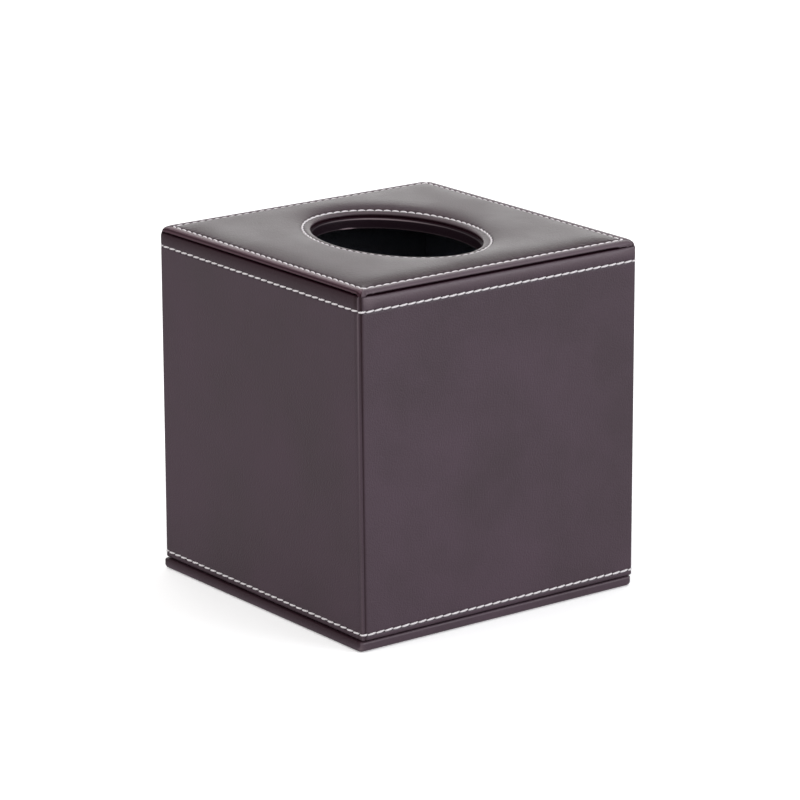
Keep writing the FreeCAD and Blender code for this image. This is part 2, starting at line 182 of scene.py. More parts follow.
def leather_surface():
    """Node group: fine pebbled grain and a slow mottle for coated leather, with painted shade and
    painted highlights mixed into its colour.
    """
    group = bpy.data.node_groups.new("leather_surface", "ShaderNodeTree")
    for name, way, kind in (
            ("Position", "INPUT", "Vector"), ("Colour", "INPUT", "Color"),
            ("Worn Colour", "INPUT", "Color"), ("Grains per Metre", "INPUT", "Float"),
            ("Base Roughness", "INPUT", "Float"), ("Painted Light", "INPUT", "Float"),
            ("Colour", "OUTPUT", "Color"), ("Roughness", "OUTPUT", "Float"),
            ("Height", "OUTPUT", "Float")):
        group.interface.new_socket(name, in_out=way, socket_type="NodeSocket" + kind)
    inside, link = group.nodes, group.links.new
    given, result = inside.new("NodeGroupInput"), inside.new("NodeGroupOutput")

    wander = inside.new("ShaderNodeTexNoise")
    wander.inputs["Scale"].default_value = 420
    wander.inputs["Detail"].default_value = 2
    link(given.outputs["Position"], wander.inputs["Vector"])
    bend = inside.new("ShaderNodeVectorMath")
    bend.operation = "MULTIPLY_ADD"
    bend.inputs[1].default_value = (0.6 * MM, 0.6 * MM, 0.6 * MM)
    link(wander.outputs["Color"], bend.inputs[0])
    link(given.outputs["Position"], bend.inputs[2])
    grain = inside.new("ShaderNodeTexVoronoi")
    grain.feature = "SMOOTH_F1"
    grain.inputs["Smoothness"].default_value = 0.35
    link(bend.outputs["Vector"], grain.inputs["Vector"])
    link(given.outputs["Grains per Metre"], grain.inputs["Scale"])
    pebble = worked_out(group, "MULTIPLY_ADD", grain.outputs["Distance"], -1.0, 1.0)
    pores = fine_noise(group, given.outputs["Position"], 5200, 3)
    link(worked_out(group, "MULTIPLY_ADD", pores, 0.35, pebble), result.inputs["Height"])

    mottle = inside.new("ShaderNodeTexNoise")
    mottle.inputs["Scale"].default_value = 26
    mottle.inputs["Detail"].default_value = 5
    mottle.inputs["Roughness"].default_value = 0.6
    link(given.outputs["Position"], mottle.inputs["Vector"])
    mottle_range = inside.new("ShaderNodeMapRange")
    mottle_range.inputs["From Min"].default_value = 0.35
    mottle_range.inputs["From Max"].default_value = 0.65
    link(mottle.outputs["Fac"], mottle_range.inputs["Value"])
    patches = mottle_range.outputs["Result"]
    blend = mixed(group, patches, given.outputs["Colour"], given.outputs["Worn Colour"])
    # Painted shade: a positive value darkens the colour towards a dark red-brown.
    darker = mixed(group, given.outputs["Painted Light"], blend, (0.022, 0.004, 0.009))
    # Painted highlight: a negative value pales the colour towards a pinkish grey.
    painted_highlight_share = worked_out(group, "MULTIPLY", given.outputs["Painted Light"], -1)
    link(mixed(group, painted_highlight_share, darker, (0.30, 0.23, 0.25)), result.inputs["Colour"])
    gloss = worked_out(group, "MULTIPLY_ADD", patches, 0.10, given.outputs["Base Roughness"])
    link(gloss, result.inputs["Roughness"])
    return group


surface_group = leather_surface()


def leather_material(name, colour, worn, roughness, gloss):
    """Coated leather of one place on the box, with painted shade and painted highlights from each
    vertex.
    """
    material, tree, shader, position = new_material(name)
    surface = tree.nodes.new("ShaderNodeGroup")
    surface.node_tree = surface_group
    surface.inputs["Colour"].default_value = (*colour, 1)
    surface.inputs["Worn Colour"].default_value = (*worn, 1)
    surface.inputs["Grains per Metre"].default_value = 1500
    surface.inputs["Base Roughness"].default_value = roughness
    tree.links.new(position, surface.inputs["Position"])
    # The vertex value read here is painted light: shade where positive, highlight where negative.
    painted_light_attribute = tree.nodes.new("ShaderNodeAttribute")
    painted_light_attribute.attribute_name = "painted_light_attribute"
    tree.links.new(painted_light_attribute.outputs["Fac"], surface.inputs["Painted Light"])
    tree.links.new(surface.outputs["Colour"], shader.inputs["Base Color"])
    tree.links.new(surface.outputs["Roughness"], shader.inputs["Roughness"])
    shader.inputs["Specular IOR Level"].default_value = gloss
    raised(tree, shader, surface.outputs["Height"], 0.13 * MM, strength=0.6)
    return material


def ring_places(per_side, per_corner):
    """Points round a square as (side, corner share, straight share), the same for every inset."""
    places = []
    for side in range(4):
        for n in range(per_corner):
            places.append((side, -1 + n / per_corner, -1.0))
        for n in range(per_side):
            places.append((side, 0.0, -1 + 2 * n / per_side))
        for n in range(per_corner):
            places.append((side, n / per_corner, 1.0))
    return places


def at_place(place, half_x, half_y, radius):
    """Plan point, outward direction and distance along its side for one of those places."""
    side, corner, straight = place
    half, across = (half_x, half_y) if side % 2 == 0 else (half_y, half_x)
    angle = corner * math.pi / 4
    outward = Vector((math.cos(angle), math.sin(angle)))
    point = Vector((half - radius, straight * (across - radius))) + radius * outward
    turn = Matrix.Rotation(side * math.pi / 2, 2)
    return turn @ point, turn @ outward, straight * (across - radius) + angle * radius


def carried_ring(name, count, stations, place, capped=False):
    """Closed skin made by extruding a ring of points through the stations and joining its ends,
    or filling both where it is capped. place(n, station) gives the nth point in mm and its
    painted light: positive paints shade, negative paints a highlight."""
    bm = bmesh.new()
    number = bm.verts.layers.int.new("number")
    painted_light_attribute = bm.verts.layers.float.new("painted_light_attribute")
    ring = bmesh.ops.create_circle(bm, segments=count, radius=1)["verts"]
    for n, vert in enumerate(ring):
        vert[number] = n
    edges = bm.edges[:]
    first = edges
    for step, station in enumerate(stations):
        if step:
            made = bmesh.ops.extrude_edge_only(bm, edges=edges)["geom"]
            ring = [item for item in made if isinstance(item, bmesh.types.BMVert)]
            edges = [item for item in made
                     if isinstance(item, bmesh.types.BMEdge) and item.is_boundary]
        for vert in ring:
            x, y, z, painted_light = place(vert[number], station)
            vert.co = Vector((x, y, z)) * MM
            vert[painted_light_attribute] = painted_light
    if capped:
        bmesh.ops.holes_fill(bm, edges=first + edges, sides=0)
    else:
        bmesh.ops.bridge_loops(bm, edges=first + edges)
    bmesh.ops.recalc_face_normals(bm, faces=bm.faces)
    return finished(bm, name)


def finished(bm, name):
    """Object from a bmesh, smooth shaded."""
    for face in bm.faces:
        face.smooth = True
    mesh = bpy.data.meshes.new(name)
    bm.to_mesh(mesh)
    bm.free()
    piece = bpy.data.objects.new(name, mesh)
    bpy.context.collection.objects.link(piece)
    return piece


def bell(off, width):
    """Height of a bell curve at a distance off its middle: 1 there, near 0 past two widths."""
    return math.exp(-(off / width) ** 2)


def hole_pull(along, length, count, width):
    """How near a point is to the nearest needle hole, from 0 to 1. Holes lie midway between
    stitches, and a stitch is centred on each corner."""
    pitch = length / count
    phase = (along + length / 2) / pitch
    off = abs(phase - math.floor(phase) - 0.5) * pitch
    return bell(off, width)


side_ring = ring_places(SIDE_POINTS, CORNER_POINTS)
beside_seam = [index for index, (side, corner, straight) in enumerate(side_ring)
               if side == 3 and corner == 0 and straight > 1 - SEAM_REACH / SIDE_POINTS]
for index in reversed(beside_seam):
    side, corner, straight = side_ring[index]
    side_ring[index + 1:index + 1] = [(side, corner, straight + part / SIDE_POINTS)
                                      for part in (0.67, 1.33)]

low_hem = ((-4.3, 10), (-4.3, 4), (-4.3, 0.6), (-4.15, 0.15), (-3.8, 0), (-2.2, 0), (-0.9, 0),
           (-0.45, 0.08), (-0.1, 0.3), (0.12, 0.65), (0.22, 1.1), (0.22, 1.5))
from_line = (-0.35, -0.15, 0, 0.15, 0.35, 0.6, 0.9, 1.3, 1.9, 2.8, 4.5, 8)
hem_top = [(0.25, 129.2), (0.27, 130.0), (0.26, 130.8), (0.20, 131.4), (0.10, 131.9),
           (-0.03, 132.3), (-0.2, 132.58), (-0.42, 132.78), (-0.75, 132.93), (-1.2, 133.03),
           (-1.8, 133.12), (-2.6, BODY_TOP - 0.05), (-9.8, BODY_TOP)]
wrong_side = [(-9.8, BODY_TOP - 0.8), (-1.1, BODY_TOP - 0.8), (-0.8, BODY_TOP - 1.2),
              (-0.8, BODY_BOTTOM + 0.8), (-3.8, BODY_BOTTOM + 0.8), (-3.8, BODY_BOTTOM + 10)]
side_profile = (
    [(offset, BODY_BOTTOM + rise) for offset, rise in low_hem]
    + [(0.22, LOW_LINE - 0.6)]
    + [(0.0, LOW_LINE + step) for step in from_line]
    + [(0.0, z) for z in (20, 32, 44, 56, 68, 80, 92, 104, 114)]
    + [(0.0, HIGH_LINE - step) for step in reversed(from_line)]
    + [(0.08, HIGH_LINE + 0.6), (0.15, HIGH_LINE + 0.9), (0.2, HIGH_LINE + 1.2)]
    + hem_top + wrong_side
)


def held(share):
    """A share, held between 0 and 1."""
    return min(1, max(0, share))


def slant(side, along):
    """Share by which the hem narrows towards the front left corner, where it was folded wider."""
    share = {3: 0.5 - along / (2 * HALF), 2: 0.5 + along / (2 * HALF)}.get(side, 0)
    return held(share) ** 1.5


def on_shoulder(z):
    """Share by which a height lies on the turned shoulder of the upper hem."""
    return held((z - SHOULDER) / 1.5) * min(1, (BODY_TOP - z) / 0.5)


def side_point(index, station):
    """Point of the sleeve, drawn down along both stitch lines, at the needle holes and at the seam,
    with a slow waver over the flat of each side. Its painted light is painted shade in the groove
    under the top, under the bottom edge, along the stitch lines, at the seam and over the front
    hems, and painted highlights on the ridge beside the seam and on the right hem."""
    offset, z = station
    side = side_ring[index][0]
    _, _, along = at_place(side_ring[index], HALF, HALF, CORNER)
    corner = bell(HALF - abs(along), 5.0)
    if offset > 0:
        offset *= 1 - corner
    half, radius = HALF + offset, max(CORNER + offset, 0.12)
    plan, outward, along = at_place(side_ring[index], half, half, radius)
    if z > HIGH_LINE + 1 and offset > -2:
        z -= SHOULDER_SLANT * slant(side, along) * on_shoulder(z)
        z += 0.35 * corner * on_shoulder(z)
    # Inside the shell the leather is painted fully in shade.
    if offset <= -0.7:
        return plan.x, plan.y, z, 1.0
    sink = 0.0
    # Painted shade in the groove under the top, weaker on the right side, and under the bottom
    # edge.
    painted_light = (0.2 if side == 0 else 0.5) * held((z - 132.75) / 0.3)
    painted_light += 0.6 * held((BODY_BOTTOM + 0.4 - z) / 0.3)
    for line, counts in ((LOW_LINE, STITCHES_LOW), (HIGH_LINE, STITCHES_HIGH)):
        above = z - line - (LINE_SLANT * slant(side, along) if line == HIGH_LINE else 0)
        near, wide = bell(above, 0.55), bell(above, 1.1)
        pull = hole_pull(along, SIDE_LENGTH, counts[side], 0.55)
        sink += 0.20 * near + (0.26 * near + 0.08 * wide) * pull
        # Painted shade along the stitch lines, deepest at the needle holes.
        painted_light += near * (0.25 + 0.4 * pull)
    if side in (0, 3):
        on_hem = held((z - HIGH_LINE - 0.3) / 1.5)
        past_corner = along + SIDE_LENGTH / 2 if side == 0 else along - SIDE_LENGTH / 2
        past = past_corner - SEAM_OFF + SEAM_LEAN * z - SEAM_JOG * on_hem
        height = (max(z, 0) / BODY_TOP) ** 3
        seam = bell(past, 0.34 + 0.24 * height)
        ridge = bell(past + 1.35, 0.38)
        shade_beside_ridge = bell(past + 3.0, 0.75)
        sink += 0.55 * seam - 0.14 * ridge
        # Painted shade along the seam and in the dip beside its ridge.
        painted_light += (0.75 + 0.3 * height - 0.4 * on_hem) * seam + (0.12 + 0.3 * height) * shade_beside_ridge
        # Painted highlight on the ridge beside the seam.
        ridge_highlight = (0.12 + 0.22 * height) * ridge
        # A painted highlight on the right hem near the corner.
        if side == 0 and z > HIGH_LINE + 0.5:
            ridge_highlight += 0.10 * bell(past - 3.5, 2.5)
        # A painted highlight along the top of the right hem.
        if side == 0:
            painted_light -= 0.18 * bell(z - 132.0, 2.1)
        # Painted shadow over the front's upper hem under the top's rim, and painted shade below its
        # lower stitch line.
        if side == 3 and z > HIGH_LINE + 0.3:
            painted_light += 0.36 + 0.38 * held((z - HIGH_LINE - 0.6) / 3.6)
        if side == 3:
            painted_light += 0.15 * held((LOW_LINE - z) / 1.5)
        painted_light = painted_light * (1 - ridge) - ridge_highlight
    waver = 0.5 + 0.5 * noise.noise(Vector((plan.x * 0.03, plan.y * 0.03, z * 0.03)))
    plan -= outward * (sink + 0.12 * waver * min(1, (HALF - abs(along)) / 12) ** 2)
    return plan.x, plan.y, z, min(painted_light, 1)


sides = carried_ring("side_leather_skin", len(side_ring), side_profile, side_point)
side_material = leather_material("side_leather_brown", (0.062, 0.040, 0.051),
                                 (0.077, 0.048, 0.065), roughness=0.40, gloss=0.38)
sides.data.materials.append(side_material)
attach(sides, "shell")
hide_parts("side_leather")


# ---- collar of the opening ----
# A band of the same leather wrapped round the edge of the oval in the top board and glued under
# it. It shows as a second, lower ring inside the rim of the padded top. Its near-black colour is
# painted shade, the leather's own colour darkened for the inside of the opening.
COLLAR_OVAL = (38.7, 27.4)
OVAL_POINTS = 480


def oval_offset(t, semi_axes, distance):
    """Plan point at angle t of an oval, moved outward by a distance."""
    a, b = semi_axes
    outward = Vector((math.cos(t) / a, math.sin(t) / b)).normalized()
    return Vector((a * math.cos(t), b * math.sin(t))) + outward * distance


def collar_point(index, station):
    """Point of the collar, its edge a little uneven as hand-turned leather is, with painted shade
    on its wall and underside, painted highlights along its upper and lower edges and a painted
    glint on the lower edge at its left end.
    """
    offset, z = station
    t = 2 * math.pi * index / OVAL_POINTS
    uneven = 0.10 * noise.noise(Vector((3 * math.cos(t), 3 * math.sin(t), z * 0.2)))
    plan = oval_offset(t, COLLAR_OVAL, offset + abs(uneven))
    # Painted highlights on the collar's upper and lower edges, with a painted glint on the lower
    # one.
    upper_highlight = (0.5 + bell(t - 2.5, 0.6)) * bell(z - 132.3, 0.18)
    lower_highlight = (0.5 + 2.5 * bell(t - 2.95, 0.08)) * bell(z - 128.9, 0.2)
    painted_light = 0.9 if offset > 0.5 else 0.2 - 0.85 * upper_highlight - 0.8 * lower_highlight
    return plan.x, plan.y, z, painted_light


collar_profile = [
    (9, 129.0), (3, 129.0), (1.3, 128.9), (0.7, 128.5), (0.3, 128.45), (0.05, 128.65),
    (0.0, 128.85), (0.0, 129.0), (0.01, 129.3), (0.02, 130.2), (0.0, 131.2), (0.02, 131.9),
    (0.14, 132.35), (0.4, 132.75), (0.8, 133.05), (1.3, 133.22), (2.2, 133.28),
    (9, 133.28), (9, 132.5), (0.8, 132.5), (0.8, 129.5), (9, 129.5)]
collar = carried_ring("opening_collar_skin", OVAL_POINTS, collar_profile, collar_point)
# A near-black copy of the leather, painted shade for the inside of the opening.
collar_material = leather_material("collar_leather_painted_shade", (0.010, 0.006, 0.009),
                                   (0.014, 0.008, 0.012), roughness=0.45, gloss=0.12)
collar.data.materials.append(collar_material)
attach(collar, "shell")
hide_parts("opening_collar")


# ---- board and foam of the padded top ----
# A sheet of greyboard carries a thin foam pad. Both stay inside the leather, which is drawn
# over them and turned under.
greyboard, tree, shader, position = new_material("greyboard")
flecks = fine_noise(tree, position, 1400, 4)
two_tones(tree, shader, flecks, (0.20, 0.19, 0.18), (0.46, 0.44, 0.41))
shader.inputs["Roughness"].default_value = 0.9
dress("top_panel_board", greyboard)

foam, tree, shader, position = new_material("pad_foam")
cells = tree.nodes.new("ShaderNodeTexVoronoi")
cells.inputs["Scale"].default_value = 2200
tree.links.new(position, cells.inputs["Vector"])
two_tones(tree, shader, cells.outputs["Distance"], (0.55, 0.52, 0.44), (0.84, 0.82, 0.76))
shader.inputs["Roughness"].default_value = 0.95
dress("top_panel_foam", foam)


# ---- leather of the padded top ----
# A square of the same leather over the foam. Two lines of stitching, one round the edge and one
# round the oval, pinch it down to the board, so the pad swells between them and each edge stands
# as a small rolled rim. It is turned under and glued to the shell.
PANEL_LINE = 60.2
SEWN = 135.3
SEWN_OVAL = 134.95
PUFFED = 136.68
PANEL_CORNER = 2.0
PANEL_STITCHES = 35
OVAL_STITCHES = 70
PANEL_SIDE_POINTS = 250
PANEL_CORNER_POINTS = 5
STITCH_OVAL = (42.3, 31.0)
RIM_OVAL = (39.2, 27.9)
OVAL_SEAM, EDGE_SEAM = 3.1, 3.8
OVAL_STEPS = 1440
EDGE_SWELL, OVAL_SWELL = (14, 3.0), (10.5, 2.1)


def oval_distance(x, y):
    """Distance outside the oval's stitch line, in mm."""
    a, b = STITCH_OVAL
    reach = math.sqrt((x / a) ** 2 + (y / b) ** 2)
    slope = math.sqrt((x / a ** 2) ** 2 + (y / b ** 2) ** 2) / reach
    return (reach - 1) / slope


def oval_lengths():
    """Distance along the oval's stitch line at each of many equal angles."""
    a, b = STITCH_OVAL
    lengths = [0.0]
    for n in range(OVAL_STEPS):
        t = 2 * math.pi * (n + 0.5) / OVAL_STEPS
        step = math.hypot(a * math.sin(t), b * math.cos(t)) * 2 * math.pi / OVAL_STEPS
        lengths.append(lengths[-1] + step)
    return lengths


oval_length = oval_lengths()


def along_oval(t):
    """Distance along the oval's stitch line at an angle."""
    turn = (t / (2 * math.pi)) % 1 * OVAL_STEPS
    whole = int(turn)
    return oval_length[whole] + (oval_length[whole + 1] - oval_length[whole]) * (turn - whole)


def swelling(distance, width, fullness):
    """Share of the pad's full height at a distance from a stitch line."""
    return 1 - (1 - held(distance / width)) ** fullness


def pad_height(x, y):
    """Height of the leather between the two stitch lines."""
    from_edge = (swelling(PANEL_LINE - abs(x), *EDGE_SWELL)
                 * swelling(PANEL_LINE - abs(y), *EDGE_SWELL))
    from_oval = swelling(oval_distance(x, y), *OVAL_SWELL)
    waver = 0.06 * noise.noise(Vector((x * 0.05, y * 0.05, 4.0)))
    sewn = SEWN_OVAL + (SEWN - SEWN_OVAL) * held(from_oval)
    return sewn + (PUFFED - sewn + waver) * from_edge * from_oval


quarter = [math.radians(degrees) for degrees in range(0, 91, 15)]
rim_angles = (0, 15, 25, 35, 42, 49, 56, 63, 70, 80, 90)
rim_roll = [(math.sin(a), math.cos(a)) for a in map(math.radians, rim_angles)]
turned_under = ((0.06, 0.75), (0.22, 0.55), (0.5, 0.4), (1.0, 0.28), (1.8, 0.15), (2.6, 0),
                (3.2, 0))
panel_profile = (
    [("oval", 0.6, BODY_TOP), ("oval", 0.15, BODY_TOP + 0.15), ("oval", 0.0, BODY_TOP + 0.45)]
    + [("oval", 2.0 * (1 - math.cos(a)), BODY_TOP + 0.75 + 0.98 * math.sin(a)) for a in quarter]
    + [("oval", OVAL_SEAM + step, SEWN_OVAL)
       for step in (-0.7, -0.45, -0.25, -0.1, 0, 0.1, 0.25, 0.45)]
    + [("oval", OVAL_SEAM + step, None) for step in (0.7, 1.1, 1.6, 2.3, 3.2, 4.3)]
    + [("between", share, None) for share in (0, 0.12, 0.25, 0.4, 0.55, 0.7, 0.82, 0.92, 1)]
    + [("edge", EDGE_SEAM + step, None) for step in (4.2, 3.1, 2.3, 1.6, 1.1, 0.7)]
    + [("edge", EDGE_SEAM + step, SEWN)
       for step in (0.45, 0.25, 0.1, 0, -0.1, -0.25, -0.45, -0.8)]
    + [("edge", 2.5 * (1 - out), BODY_TOP + 0.95 + 1.1 * rise) for out, rise in rim_roll]
    + [("edge", inset, BODY_TOP + rise) for inset, rise in turned_under]
)
panel_ring = ring_places(PANEL_SIDE_POINTS, PANEL_CORNER_POINTS)
INNER_SLOPE, OUTER_SLOPE = 8.4, 9.2


def tip_drop(plan, z):
    """How far the leather is drawn down over a corner of the panel."""
    reach = math.hypot(HALF - abs(plan.x), HALF - abs(plan.y))
    return 1.25 * bell(reach, 2.2) * held((z - BODY_TOP) / 2)


def gathers(plan):
    """Small folds of the leather, fanned out round a corner of the panel."""
    reach = math.hypot(HALF - abs(plan.x), HALF - abs(plan.y))
    fan = math.atan2(abs(plan.x) - PANEL_LINE, abs(plan.y) - PANEL_LINE)
    return bell(reach, 3.4) * max(0, math.cos(16 * fan + 0.02 * plan.x)) ** 2


def hollow_shade(plan):
    """Painted shade in the hollows along the right and front edge stitches, from 0 to about 0.6."""
    right_side = 0.62 * bell(PANEL_LINE - plan.x - 4.6, 3.4)
    front_side = 0.2 * bell(PANEL_LINE + plan.y - 4.6, 3.4)
    return max(right_side, front_side)


def rim_crease(z):
    """Depth of the fold along the middle of the rolled rim, from 0 to 1."""
    return bell(z - BODY_TOP - 1.42, 0.19)


# One value for each side: right, back, left and front. The fold's depth also sets its painted
# shade; the rim and slope values are painted highlights.
pleat_phase = (0.4, 1.9, 0.9, 2.6)
rim_fold_and_shade = (0.1, 0.6, 0.6, 1.0)
rim_highlight = (0.13, 0.04, 0.04, 0.03)
slope_highlight = (0.20, 0.05, 0.05, 0.45)


def rim_underside(side, along, plan, outward, rim):
    """Point of the rolled rim below its fold, drooping and pleated towards its corners. Its painted
    light is painted shade in the fold, the gathers and the groove under the rim, painted highlights
    on the rim, on the pleats and near the right corner, and paler at the corner tip.
    """
    to_corner = HALF - abs(along)
    droop = held((along - 53) / 5) if side == 0 else 0
    lift = 0.08 - max(0.75 * bell(to_corner, 1.7), 0.5 * droop) - 0.4 * slant(side, along)
    pleat = bell(to_corner, 8.0) * max(0, math.sin(1.7 * along + pleat_phase[side])) ** 2
    z = rim + (lift - 0.4 * pleat) * min(1, (rim - BODY_TOP) / 0.4) - 0.2 * gathers(plan)
    z -= tip_drop(plan, rim)
    fold = rim_fold_and_shade[side] * rim_crease(rim)
    plan = plan - outward * 0.3 * fold
    # Paler at the corner tip, with a painted highlight on the rim and painted shade in the fold.
    painted_lightening = 0.3 * bell(to_corner, 1.6) - fold + rim_highlight[side] * bell(rim - BODY_TOP - 1.3, 0.3)
    # Painted shade in the groove under the rim, weaker on the right side.
    groove_shade = (0.5 if side == 0 else 0.75) * held((BODY_TOP + 0.85 + lift - z) / 0.3)
    # A painted glint line over a painted shadow line on the drooping rim by the right corner.
    glint_and_shadow_line = 2.0 * bell(rim - BODY_TOP - 0.85, 0.15) - 2.4 * bell(rim - BODY_TOP - 1.14, 0.15)
    # Painted highlight on the pleats, painted shade in the gathers.
    painted_light = groove_shade - painted_lightening - 0.2 * pleat + 0.8 * gathers(plan) - 0.35 * droop * glint_and_shadow_line * (0.5 + pleat)
    return plan.x, plan.y, z, max(-1, min(1, painted_light))


def panel_point(index, station):
    """Point of the padded top's leather, drawn in at every needle hole. Its painted light is
    painted shade along the stitch lines, in the hollows, folds and gathers and down into the
    opening, and painted highlights on the rim and on the roll into the opening.
    """
    kind, distance, z = station
    place = panel_ring[index]
    side = place[0]
    corner_plan, _, _ = at_place(place, HALF, HALF, PANEL_CORNER)
    t = math.atan2(corner_plan.y, corner_plan.x)
    inset = {"edge": distance, "between": OUTER_SLOPE, "oval": 0}[kind]
    half, radius = HALF - inset, max(PANEL_CORNER - inset, 0.15)
    plan, outward, along = at_place(place, half, half, radius)
    if kind == "oval":
        plan = oval_offset(t, RIM_OVAL, distance)
    if kind == "between":
        plan = oval_offset(t, RIM_OVAL, INNER_SLOPE).lerp(plan, distance)
    if z is None:
        z = pad_height(plan.x, plan.y)
    if kind == "between":
        # Between the stitch lines the only painted light is the painted shade in the hollows.
        return plan.x, plan.y, z, hollow_shade(plan)
    if kind == "edge" and z <= BODY_TOP + 1.3:
        return rim_underside(side, along, plan, outward, z)
    # Down into the opening the leather is painted in shade, with a faint painted highlight at the
    # top of its roll.
    if kind == "oval" and (distance <= 0.5 or z <= BODY_TOP + 1):
        return plan.x, plan.y, z, 0.85 - 0.97 * held((z - BODY_TOP - 0.7) / 0.3)
    if kind == "oval":
        off = distance - OVAL_SEAM
        pull = hole_pull(along_oval(t), oval_length[-1], OVAL_STITCHES, 0.5)
    else:
        off = inset - EDGE_SEAM
        pull = hole_pull(along * PANEL_LINE / half, 2 * PANEL_LINE, PANEL_STITCHES, 0.5)
    near, wide = bell(off, 0.5), bell(off, 1.5)
    z -= 0.22 * near + (0.25 * near + 0.10 * wide) * pull
    # Painted shade along the stitch lines, deepest at the needle holes.
    painted_light = near * (0.2 + 0.3 * pull)
    if kind == "edge":
        mitre = abs(abs(plan.x) - abs(plan.y))
        z -= 0.28 * bell(mitre, 0.5) * bell(inset - 1.8, 1.3)
        z -= tip_drop(plan, z)
        fold = rim_fold_and_shade[side] * rim_crease(station[2]) if station[2] else 0
        # Painted shade in the fold, the gathers and the hollows; painted highlights on the rim and
        # the slope.
        painted_light += fold + 0.8 * gathers(plan) + hollow_shade(plan) * held(off)
        painted_light -= rim_highlight[side] * bell(inset - 0.15, 0.25)
        painted_light -= slope_highlight[side] * bell(inset - 2.2, 0.8)
        z -= 0.15 * fold + 0.2 * gathers(plan)
        plan = plan - outward * 0.3 * fold
    else:
        # Painted shade just outside the oval's stitch line.
        painted_light += 0.14 * bell(off - 1.0, 0.6)
    if kind == "oval" and off < -0.3:
        # Painted shade in the fold of the roll into the opening, a painted highlight on its crest,
        # painted shade below.
        painted_light += 0.3 * bell(off + 1.2, 0.25)
        painted_light -= 0.2 * bell(off + 2.9, 0.7) * held((z - SEWN_OVAL + 0.95) / 0.3)
        painted_light += 0.85 * held((SEWN_OVAL - 0.9 - z) / 0.4)
    return plan.x, plan.y, z, min(1, painted_light)


panel = carried_ring("top_panel_leather_skin", len(panel_ring), panel_profile, panel_point)
# The rolled rim takes two lighter copies of the leather's colour, painted light: a redder one on
# the front and a greyer one on the other sides.
for name, base_tone, worn, roughness, gloss in (
        ("top_leather_brown", (0.060, 0.040, 0.049), (0.072, 0.049, 0.058), 0.34, 0.5),
        ("rim_painted_light_front", (0.088, 0.046, 0.061), (0.100, 0.051, 0.068), 0.40, 0.25),
        ("rim_painted_light_sides", (0.105, 0.076, 0.091), (0.120, 0.087, 0.104), 0.40, 0.25)):
    panel.data.materials.append(leather_material(name, base_tone, worn, roughness, gloss))
for face in panel.data.polygons:
    centre = face.center / MM
    if max(abs(centre.x), abs(centre.y)) > PANEL_LINE and centre.z > BODY_TOP:
        face.material_index = 1 if abs(centre.x) < -centre.y else 2
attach(panel, "shell")
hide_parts("top_panel_leather")


# ---- stitching ----
# White bonded thread, two plies, sewn as a lockstitch of about seven stitches to the inch. Each
# stitch lies proud between two needle holes and slants a little across its line.
THREAD_RADIUS = 0.385
STITCH_SHARE = 0.95
STITCH_SLANT = math.radians(5.5)
STITCH_RISE = 0.30
HOLE_DEPTH = 0.18
SUNK = 0.16


def one_stitch(bm, twist, pitch):
    """A rounded, arched length of thread along X, its ends dipping into the holes."""
    made = bmesh.ops.create_uvsphere(bm, u_segments=8, v_segments=8, radius=1)["verts"]
    bmesh.ops.rotate(bm, verts=made, matrix=Matrix.Rotation(math.pi / 2, 3, "Y"))
    for face in {face for vert in made for face in vert.link_faces}:
        middle = face.calc_center_median()
        centre = math.atan2(middle.z, middle.y) / (2 * math.pi)
        for loop in face.loops:
            round_way = math.atan2(loop.vert.co.z, loop.vert.co.y) / (2 * math.pi)
            if round_way - centre > 0.5:
                round_way -= 1
            if centre - round_way > 0.5:
                round_way += 1
            loop[twist].uv = (loop.vert.co.x * pitch, round_way)
    for vert in made:
        girth = math.hypot(vert.co.y, vert.co.z)
        radius = THREAD_RADIUS * girth ** 0.45 / girth if girth > 1e-6 else THREAD_RADIUS
        x = math.copysign(abs(vert.co.x) ** 0.8, vert.co.x)
        arch = STITCH_RISE * (1 - x * x) - HOLE_DEPTH
        along = x * pitch * STITCH_SHARE / 2
        vert.co = Vector((along, vert.co.y * radius + along * math.tan(STITCH_SLANT),
                          vert.co.z * radius + arch))
    return made


def sewn_line(name, centres, pitch, lay):
    """One object holding a line of stitches. lay(s, across, out) puts a point of a stitch on the
    leather."""
    bm = bmesh.new()
    twist = bm.loops.layers.uv.new("twist")
    pattern = one_stitch(bm, twist, pitch)
    pattern_faces = list({face for vert in pattern for face in vert.link_faces})
    for number, centre in enumerate(centres):
        made = bmesh.ops.duplicate(bm, geom=pattern_faces)["geom"]
        loose = noise.noise(Vector((number * 0.77, centre * 0.13, 0.5)))
        for vert in made:
            if isinstance(vert, bmesh.types.BMVert):
                across = vert.co.y + 0.08 * loose + 0.03 * loose * vert.co.x
                vert.co = Vector(lay(centre + vert.co.x, across, vert.co.z)) * MM
    bmesh.ops.delete(bm, geom=pattern, context="VERTS")
    bmesh.ops.recalc_face_normals(bm, faces=bm.faces)
    return finished(bm, name)


def side_line(counts):
    """Centres of the stitches round the four sides, in mm from the front right corner."""
    return [side * SIDE_LENGTH + n * SIDE_LENGTH / count
            for side, count in enumerate(counts) for n in range(count)]


def rounded_square(s, half, radius):
    """Plan point and outward direction at a distance s round a rounded square, in mm. The
    distance starts at the middle of the front right corner and runs up the right side."""
    length = 2 * (half - radius) + radius * math.pi / 2
    side, s = divmod(s % (4 * length), length)
    along = s - length / 2
    straight = max(radius - half, min(half - radius, along))
    angle = (along - straight) / radius
    outward = Vector((math.cos(angle), math.sin(angle)))
    point = Vector((half - radius, straight)) + radius * outward
    turn = Matrix.Rotation(side * math.pi / 2, 2)
    return turn @ point, turn @ outward


